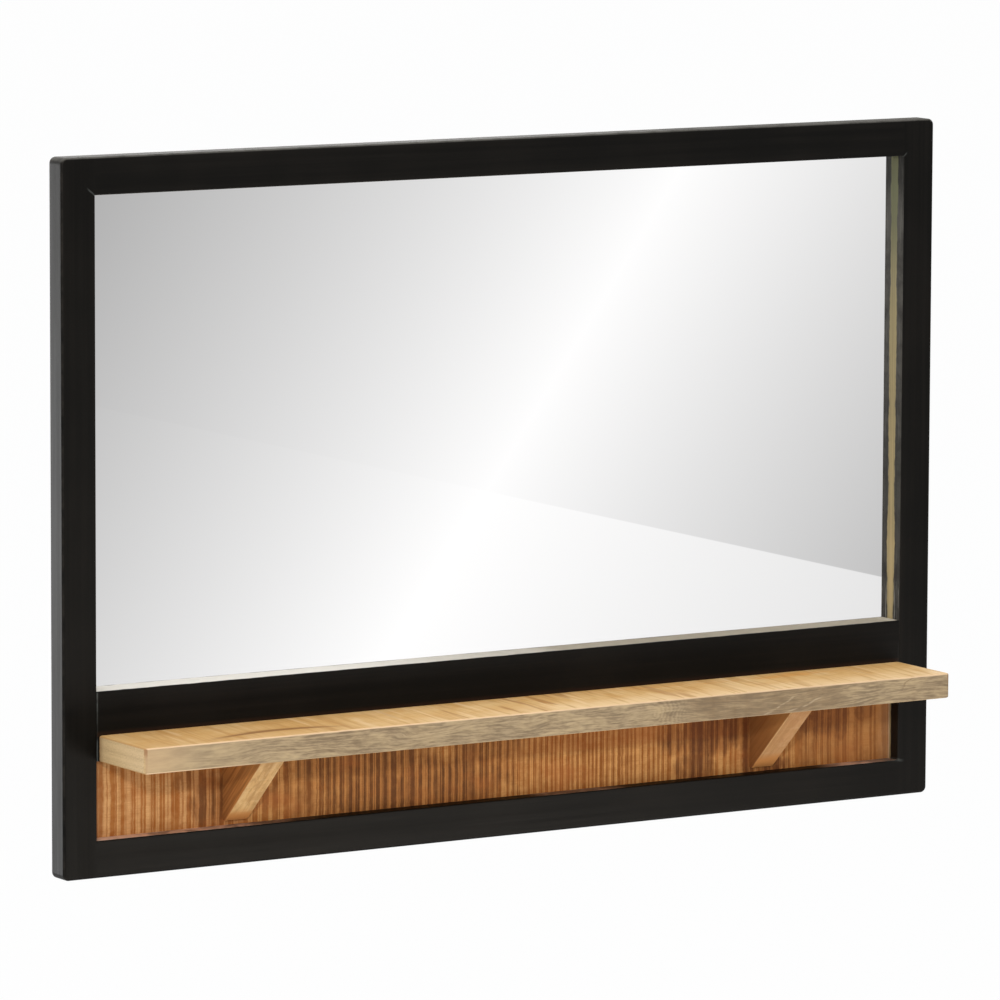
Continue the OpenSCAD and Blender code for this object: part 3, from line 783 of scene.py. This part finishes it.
def shelf_front(r, s, finish):
    """The greyer front edge: wavy grain, a warm zone with cracks, a split near the right end, and a painted
    highlight at the left end.
    """
    fibres = knotted_fibres(r, s)
    grain = r.between(fibres * 0.65 + s.flecks * 0.35, 0.40, 0.60)
    grain = grain * r.between(s.patches, 0.32, 0.60, 0.45, 0.95)
    # Fainter grain toward the left end, under the painted highlight there
    grain = grain * r.between(s.x + (s.cloud - 0.5) * 0.10, -0.34, -0.22, 0.35, 1.0)
    warm = r.between(abs(s.x - 0.200) + (s.cloud - 0.5) * 0.08, 0.050, 0.090, 0.95, 0.0)
    warm = warm * r.between(s.patches * 0.5 + fibres * 0.5, 0.36, 0.60, 0.45, 1.0)
    off_split = abs(s.z + 0.384 - (s.x - 0.330) * 0.75 + (s.cloud + s.patches - 1.0) * 0.012)
    split = r.between(off_split, 0.0002, 0.0014, 0.55, 0.0) * r.near(s.x, 0.334, 0.006, 0.016)
    return r.layers(
        finish.edge,
        (r.between(s.patches, 0.36, 0.62, 0.0, 0.80), Tone.edge_grey),
        (warm, Tone.edge_warm),
        (grain, finish.grain),
        *((crack_mark(r, s, *crack), Tone.edge_crack) for crack in CRACKS),
        # Painted highlight: the front edge's left end is lighter
        (r.between(s.x + (s.cloud - 0.5) * 0.08, -0.365, -0.31, 0.60, 0.0), Tone.edge_left_highlight),
        (split, Tone.edge_split),
    )


def honey_board(finish):
    """Light board: streaked top, greyer front edge, pale ends with painted shade at their back, and sanded
    edges between them with a painted highlight along the front.
    """
    r = Recipe("honey-coloured board")
    s = shelf_fields(r)
    on_end = r.layers(
        Tone.end_light,
        (r.between(s.patches * 0.5 + s.fibre * 0.5, 0.42, 0.60), Tone.end_dark),
        # Painted shade: the back of each end, deep in the gap at the frame, is darkened
        (r.between(s.y, -0.030, -0.022, 0.0, 0.65), Tone.end_back_painted_shade),
    )
    # Sanded front edges with a painted highlight: along the whole top edge, and along the bottom edge
    # mainly at the left end
    front_arris_highlight = r.between(abs(s.ny * s.nz), 0.15, 0.42, 0.0, 0.80)
    front_arris_highlight = front_arris_highlight * r.between(s.fibre * 0.5 + s.cloud * 0.5, 0.35, 0.55, 0.6, 1.0)
    front_arris_highlight = front_arris_highlight * r.between(s.x, -0.34, -0.24, 1.0, 0.15).at_least(s.nz > 0.0)
    corner = r.between(abs(s.nx * s.ny), 0.12, 0.40)
    corner = corner * r.between(s.z, SHELF_TOP - 0.009, SHELF_TOP - 0.003, 0.15, 0.75)
    wood = r.layers(
        shelf_top(r, s, finish),
        (r.between(s.ny, -0.70, -0.40, 0.96, 0.0), shelf_front(r, s, finish)),
        (r.between(abs(s.nx), 0.60, 0.90, 0.0, 0.90), on_end),
        (front_arris_highlight, Tone.front_arris_highlight),
        (r.between(abs(s.nx * s.nz), 0.15, 0.42, 0.0, 0.60), Tone.end_arris),
        (corner, Tone.end_corner),
    )
    return r.finish(
        Base_Color=wood,
        Roughness=r.between(s.fibre, 0.3, 0.7, 0.50, 0.66),
        Specular_IOR_Level=0.12,
        Normal=r.bump(s.saw * 0.6 + s.deep_saw * 0.4, 0.00014, 0.4, r.bump(s.fibre, 0.00010, 0.5)),
    )


# ---------- the brackets ----------


def bracket_wood(finish):
    """A sawn gusset: the grain follows its slope, and its sides are darker, with painted shade toward the
    panel.
    """
    r = Recipe("bracket wood")
    x, y, z = r.split(r.object_place())
    nx, ny, nz = r.surface_facing()
    slope = (math.radians(43.4), 0.0, 0.0)
    grain = r.noise((900.0, 16.0, 900.0), 3.0, 0.6, turn=slope)
    broad = r.noise((190.0, 12.0, 260.0), 3.0, 0.55, shift=(2.0, 3.0, 1.0), turn=slope)
    saw = r.noise((50.0, 240.0, 50.0), 2.0, 0.5, shift=(1.0, 7.0, 2.0), turn=slope)
    mottle = r.noise((240.0, 90.0, 240.0), 3.0, 0.65, shift=(6.0, 1.0, 2.0), turn=slope, bend=0.6)
    patch = r.noise((70.0, 70.0, 70.0), 2.0, 0.6, shift=(5.0, 2.0, 8.0))
    streaks = broad * 0.6 + grain * 0.4
    at_right = r.between(x, -0.1, 0.1)

    toe = z + (patch - 0.5) * 0.006 - at_right * 0.003
    light = r.layers(
        finish.slope,
        (r.between(streaks, 0.44, 0.66, 0.0, 0.65), Tone.slope_streak),
        (r.between(mottle, 0.48, 0.64, 0.0, 0.55), Tone.slope_dark),
        (r.between(mottle, 0.36, 0.46, 0.40, 0.0), Tone.slope_light),
        (r.between(saw, 0.55, 0.70, 0.0, 0.30), Tone.slope_saw),
        (at_right * 0.55, Tone.slope_right),
        (r.between(patch * 0.5 + broad * 0.5, 0.46, 0.62, 0.0, 0.45), Tone.slope_patch),
        (r.between(toe, SHELF_TOP - 0.0735, SHELF_TOP - 0.0665, 0.90, 0.0), finish.side),
    )
    dark = r.layers(
        finish.side,
        (r.between(streaks, 0.40, 0.60), finish.shade),
        (r.between(broad, 0.30, 0.44, 0.45, 0.0), Tone.side_light),
        # Painted shade: the sides darken toward the panel, in the corner under the shelf, and the later
        # layer lightens them toward the slope
        (r.between(y, -0.030, -0.010, 0.0, 0.45), finish.shade),
        (at_right * 0.75, Tone.side_right),
        (r.between(y, -0.062, -0.026, 0.42, 0.0), Tone.side_light),
    )
    rubbed = r.between(abs(nx * ny) + abs(nx * nz), 0.20, 0.50) * r.between(patch, 0.35, 0.6, 0.2, 0.7)
    rubbed = rubbed * (y < PANEL_FRONT - 0.003)
    rubbed = rubbed * r.between(z, SHELF_TOP - 0.070, SHELF_TOP - 0.045, 0.2, 0.8)
    return r.finish(
        Base_Color=r.layers(light, (r.between(abs(nx), 0.70, 0.95), dark), (rubbed, Tone.bracket_arris)),
        Roughness=r.between(grain, 0.3, 0.7, 0.50, 0.66),
        Specular_IOR_Level=0.08,
        Normal=r.bump(grain * 0.6 + saw * 0.4, 0.00015, 0.5),
    )


# ---------- hidden pieces ----------


def hardboard():
    """Pressed brown board with a fibrous, slightly mottled face."""
    r = Recipe("hardboard")
    fibre = r.noise((900.0, 900.0, 900.0), 4.0, 0.75, bend=1.2)
    fleck = r.noise((260.0, 260.0, 260.0), 3.0, 0.7, shift=(6.0, 2.0, 5.0), bend=1.5)
    mottle = r.noise((26.0, 26.0, 26.0), 2.0, 0.5, shift=(3.0, 1.0, 2.0))
    tone = r.between(fibre * 0.45 + fleck * 0.35 + mottle * 0.20, 0.36, 0.64)
    return r.finish(
        Base_Color=r.blend(tone, Tone.board_dark, Tone.board_light),
        Roughness=r.between(fibre, 0.3, 0.7, 0.55, 0.75),
        Normal=r.bump(fibre, 0.00012, 0.6),
    )


def dowel_wood():
    """Turned light hardwood with a close straight grain."""
    r = Recipe("dowel wood")
    grain = r.noise((1400.0, 1400.0, 60.0), 3.0, 0.6)
    return r.finish(
        Base_Color=r.blend(r.between(grain, 0.35, 0.7), Tone.dowel_light, Tone.dowel_dark),
        Roughness=r.between(grain, 0.3, 0.7, 0.50, 0.65),
        Normal=r.bump(grain, 0.00008, 0.5),
    )


def zinc_steel():
    """Bright zinc plating with fine scratches and dull patches."""
    r = Recipe("zinc-plated steel")
    scratch = r.noise((2600.0, 2600.0, 180.0), 2.0, 0.6)
    patch = r.noise((160.0, 160.0, 160.0), 3.0, 0.6, shift=(1.0, 5.0, 2.0))
    return r.finish(
        Base_Color=r.blend(r.between(patch, 0.35, 0.7), Tone.zinc_bright, Tone.zinc_dull),
        Metallic=1.0,
        Roughness=r.between(scratch * 0.5 + patch * 0.5, 0.3, 0.7, 0.24, 0.44),
        Normal=r.bump(scratch, 0.00003, 0.5),
    )


def dress(material, *names):
    """Gives solids of the frame a finish."""
    for name in names:
        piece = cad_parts[name]
        for holder in piece.material_slots:
            holder.material = material


# ---------- operators: one for each piece or group ----------


class MIRROR_OT_frame(bpy.types.Operator):
    """Paint the stiles and rails black, and leave the wood bare beside the glass"""

    bl_idname = "mirror.frame"
    bl_label = "Frame"

    def execute(self, context):
        finish = context.scene.mirror_frame
        dress(black_paint("black paint, upright grain", finish, True), *STILES)
        dress(black_paint("black paint, level grain", finish, False), *RAILS)
        return {"FINISHED"}


class MIRROR_OT_glass(bpy.types.Operator):
    """Silver the mirror pane"""

    bl_idname = "mirror.glass"
    bl_label = "Mirror pane"

    def execute(self, context):
        dress(silvered_glass(), "mirror_pane")
        return {"FINISHED"}


class MIRROR_OT_backing(bpy.types.Operator):
    """Finish the backing board behind the glass"""

    bl_idname = "mirror.backing"
    bl_label = "Backing board"

    def execute(self, context):
        dress(hardboard(), "backing_board")
        return {"FINISHED"}


class MIRROR_OT_panel(bpy.types.Operator):
    """Finish the rough-sawn panel below the mirror"""

    bl_idname = "mirror.panel"
    bl_label = "Lower panel"

    def execute(self, context):
        dress(sawn_panel(context.scene.mirror_panel), "lower_panel")
        return {"FINISHED"}


class MIRROR_OT_shelf(bpy.types.Operator):
    """Finish the shelf board"""

    bl_idname = "mirror.shelf"
    bl_label = "Shelf"

    def execute(self, context):
        dress(honey_board(context.scene.mirror_shelf), "shelf_board")
        return {"FINISHED"}


class MIRROR_OT_brackets(bpy.types.Operator):
    """Finish the two gussets under the shelf"""

    bl_idname = "mirror.brackets"
    bl_label = "Brackets"

    def execute(self, context):
        dress(bracket_wood(context.scene.mirror_brackets), *BRACKETS)
        return {"FINISHED"}


class MIRROR_OT_fasteners(bpy.types.Operator):
    """Finish the screws, the dowels and the keyhole plates"""

    bl_idname = "mirror.fasteners"
    bl_label = "Screws, dowels and plates"

    def execute(self, context):
        dress(zinc_steel(), *SCREWS, *PLATES)
        dress(dowel_wood(), "bracket_dowels")
        return {"FINISHED"}


# ---------- studio ----------


# Name, place, the point that the lamp looks at, size, power, tint, and whether it lights matt surfaces
LAMPS = (
    ("key lamp", (-2.70, -3.98, 1.08), (0.0, 0.0, -0.3), 0.22, 62.0, Tone.white, True),
    ("overhead lamp", (-0.6, -1.2, 3.6), (0.0, 0.0, -0.2), 2.6, 50.0, Tone.white, True),
    ("side lamp", (-1.6, 2.0, -0.53), (-0.3, 0.0, -0.4), 1.25, 32.0, Tone.white, False),
    ("low lamp", (0.45, -0.95, -1.02), (0.0, 0.0, -0.42), 0.8, 12.0, Tone.warm_light, False),
    ("back lamp", (1.45, 3.15, 0.60), (0.0, 0.0, 0.06), 2.0, 27.0, Tone.white, False),
)
FLOOR_SIZE = 120.0
FLOOR_WHITENESS = 0.95  # share of plain white in the floor as it is seen; the rest shows shadows

# The card stands where the camera's view goes after the glass has turned it back
CARD_DIRECTION = Vector((0.5254, -0.8424, -0.1200))
CARD_AIM = Vector((-0.012, GLASS_FRONT, -0.177))
CARD_WIDTH = 3.4
CARD_HEIGHT = 2.6
CARD_STRENGTH = 1.045

# The card's bright band and the line where its floor begins: place at the middle, and slope
BAND_PLACE, BAND_SLOPE = -0.035, 0.596
FLOOR_PLACE, FLOOR_SLOPE = -0.0655, 0.2126
SCREEN_GAMMA = 2.2


def place_area_lamp(name, place, aim, size, power, tint, lights_matt):
    """Adds a soft square lamp that looks at a point."""
    bpy.ops.object.light_add(type="AREA", location=place)
    lamp = bpy.context.object
    lamp.name = name
    lamp.data.shape = "SQUARE"
    lamp.data.size = size
    lamp.data.energy = power
    lamp.data.color = tint
    lamp.rotation_mode = "QUATERNION"
    lamp.rotation_quaternion = (Vector(aim) - Vector(place)).to_track_quat("-Z", "Y")
    lamp.visible_camera = False
    lamp.visible_diffuse = lights_matt


def card_shade(r):
    """The card's glowing picture, a painted reflection for the mirror: a pale wall above a floor, with a
    bright band of painted light across both.
    """
    u, v, _ = r.split(r.object_place())
    u, v = u * CARD_WIDTH, v * CARD_HEIGHT
    from_band = u - (BAND_PLACE - BAND_SLOPE * v)
    above_floor = v - (FLOOR_PLACE + FLOOR_SLOPE * u)
    on_floor = r.between(above_floor, -0.0008, 0.0008, 1.0, 0.0)
    falloff = 0.430 - (from_band < 0.0) * on_floor * 0.245
    tone = (0.998 - abs(from_band) * falloff + on_floor * 0.006).at_least(0.62)
    tone = tone ** SCREEN_GAMMA
    shade = r.node("CombineColor", None, {0: tone, 1: tone, 2: tone * 1.004})
    rim = r.near(u, 0.0, 1.2, 1.7, 0.0, 1.0).at_least(r.near(v, 0.0, 0.85, 1.3, 0.0, 1.0))
    return shade, rim


class MIRROR_OT_studio(bpy.types.Operator):
    """Set up the floor, the lamps, the card that the mirror shows and the camera"""

    bl_idname = "mirror.studio"
    bl_label = "Studio"

    def execute(self, context):
        studio = context.scene.mirror_studio
        self.make_camera(context, studio)
        self.make_world(context)
        self.make_floor(studio)
        self.make_card(studio)
        for lamp in LAMPS:
            place_area_lamp(*lamp)
        context.scene.view_settings.view_transform = "Standard"
        return {"FINISHED"}

    @staticmethod
    def make_camera(context, studio):
        bpy.ops.object.camera_add(location=studio.camera_place)
        camera = context.object
        camera.name = "camera"
        camera.data.sensor_width = 36.0
        camera.data.lens = studio.lens
        turn = Matrix.Rotation(-studio.camera_turn, 4, "Z")
        tilt = Matrix.Rotation(math.pi / 2 - studio.camera_tilt, 4, "X")
        roll = Matrix.Rotation(studio.camera_roll, 4, "Z")
        camera.matrix_world = Matrix.Translation(studio.camera_place) @ turn @ tilt @ roll
        context.scene.camera = camera

    @staticmethod
    def make_world(context):
        world = context.scene.world or bpy.data.worlds.new("studio")
        context.scene.world = world
        r = Recipe("studio", world)
        soft = r.node("Background", None, {"Color": (*Tone.soft_sky, 1.0), "Strength": 1.0})
        white = r.node("Background", None, {"Color": (*Tone.white, 1.0), "Strength": 1.0})
        r.mixed_surface(r.shown_rays(), soft, white)

    @staticmethod
    def make_floor(studio):
        """A floor that is clear from below, so that it hides nothing from a low camera."""
        level = CAD_BOX[0].z - studio.floor_drop
        bpy.ops.mesh.primitive_plane_add(size=FLOOR_SIZE, location=(0.0, 0.0, level))
        floor = bpy.context.object
        floor.name = "floor"
        r = Recipe("pale floor")
        matt = r.node("BsdfDiffuse", None, {"Color": (*Tone.floor, 1.0)})
        white = r.node("Emission", None, {"Color": (*Tone.white, 1.0), "Strength": 1.0})
        lit = r.node("MixShader", None, {0: r.shown_rays() * FLOOR_WHITENESS, 1: matt, 2: white})
        below = r.node("NewGeometry", None, None, out="Backfacing")
        r.mixed_surface(below, lit, r.node("BsdfTransparent"))
        floor.data.materials.append(r.material)

    @staticmethod
    def make_card(studio):
        """A tall glowing card out of shot, which only the mirror shows, so that the glass reflects its
        painted light.
        """
        look = CARD_DIRECTION.normalized()
        bpy.ops.mesh.primitive_plane_add(size=1.0)
        card = bpy.context.object
        card.name = "reflection card"
        across = look.cross(Vector((0.0, 0.0, 1.0))).normalized()
        up = across.cross(look)
        turn = Matrix((across, up, -look)).transposed().to_4x4()
        size = Matrix.Diagonal((CARD_WIDTH, CARD_HEIGHT, 1.0, 1.0))
        card.matrix_world = Matrix.Translation(CARD_AIM + look * studio.card_distance) @ turn @ size
        r = Recipe("reflection card")
        shade, rim = card_shade(r)
        bright = r.node("Emission", None, {"Color": shade, "Strength": CARD_STRENGTH})
        r.mixed_surface(rim, bright, r.node("BsdfTransparent"))
        card.data.materials.append(r.material)
        card.visible_camera = False
        card.visible_diffuse = False
        card.visible_shadow = False


# ---------- panel, and registration ----------


# Label, property group and operator of each section, in the order that main() runs them
SECTIONS = (
    ("Frame", "mirror_frame", "mirror.frame"),
    ("Mirror pane", None, "mirror.glass"),
    ("Backing board", None, "mirror.backing"),
    ("Lower panel", "mirror_panel", "mirror.panel"),
    ("Shelf", "mirror_shelf", "mirror.shelf"),
    ("Brackets", "mirror_brackets", "mirror.brackets"),
    ("Screws, dowels and plates", None, "mirror.fasteners"),
    ("Studio", "mirror_studio", "mirror.studio"),
)


class MIRROR_PT_sidebar(bpy.types.Panel):
    """Sizes and colours of the mirror, and a button for each piece"""

    bl_idname = "MIRROR_PT_sidebar"
    bl_label = "Mirror with shelf"
    bl_space_type = "VIEW_3D"
    bl_region_type = "UI"
    bl_category = "Mirror"

    def draw(self, context):
        for label, group, operator in SECTIONS:
            box = self.layout.box()
            box.operator(operator, text=label)
            if group:
                settings = getattr(context.scene, group)
                for name in settings.bl_rna.properties.keys():
                    if name not in ("rna_type", "name"):
                        box.prop(settings, name)


GROUPS = {
    "mirror_frame": FrameFinish,
    "mirror_panel": PanelFinish,
    "mirror_shelf": ShelfFinish,
    "mirror_brackets": BracketFinish,
    "mirror_studio": StudioSet,
}

CLASSES = (
    *GROUPS.values(),
    MIRROR_OT_frame,
    MIRROR_OT_glass,
    MIRROR_OT_backing,
    MIRROR_OT_panel,
    MIRROR_OT_shelf,
    MIRROR_OT_brackets,
    MIRROR_OT_fasteners,
    MIRROR_OT_studio,
    MIRROR_PT_sidebar,
)


def register():
    for item in CLASSES:
        bpy.utils.register_class(item)
    for name, group in GROUPS.items():
        setattr(bpy.types.Scene, name, PointerProperty(type=group))


def unregister():
    for name in GROUPS:
        delattr(bpy.types.Scene, name)
    for item in reversed(CLASSES):
        bpy.utils.unregister_class(item)


def main():
    register()
    for _, _, operator in SECTIONS:
        family, name = operator.split(".")
        getattr(getattr(bpy.ops, family), name)()


if __name__ == "__main__":
    main()
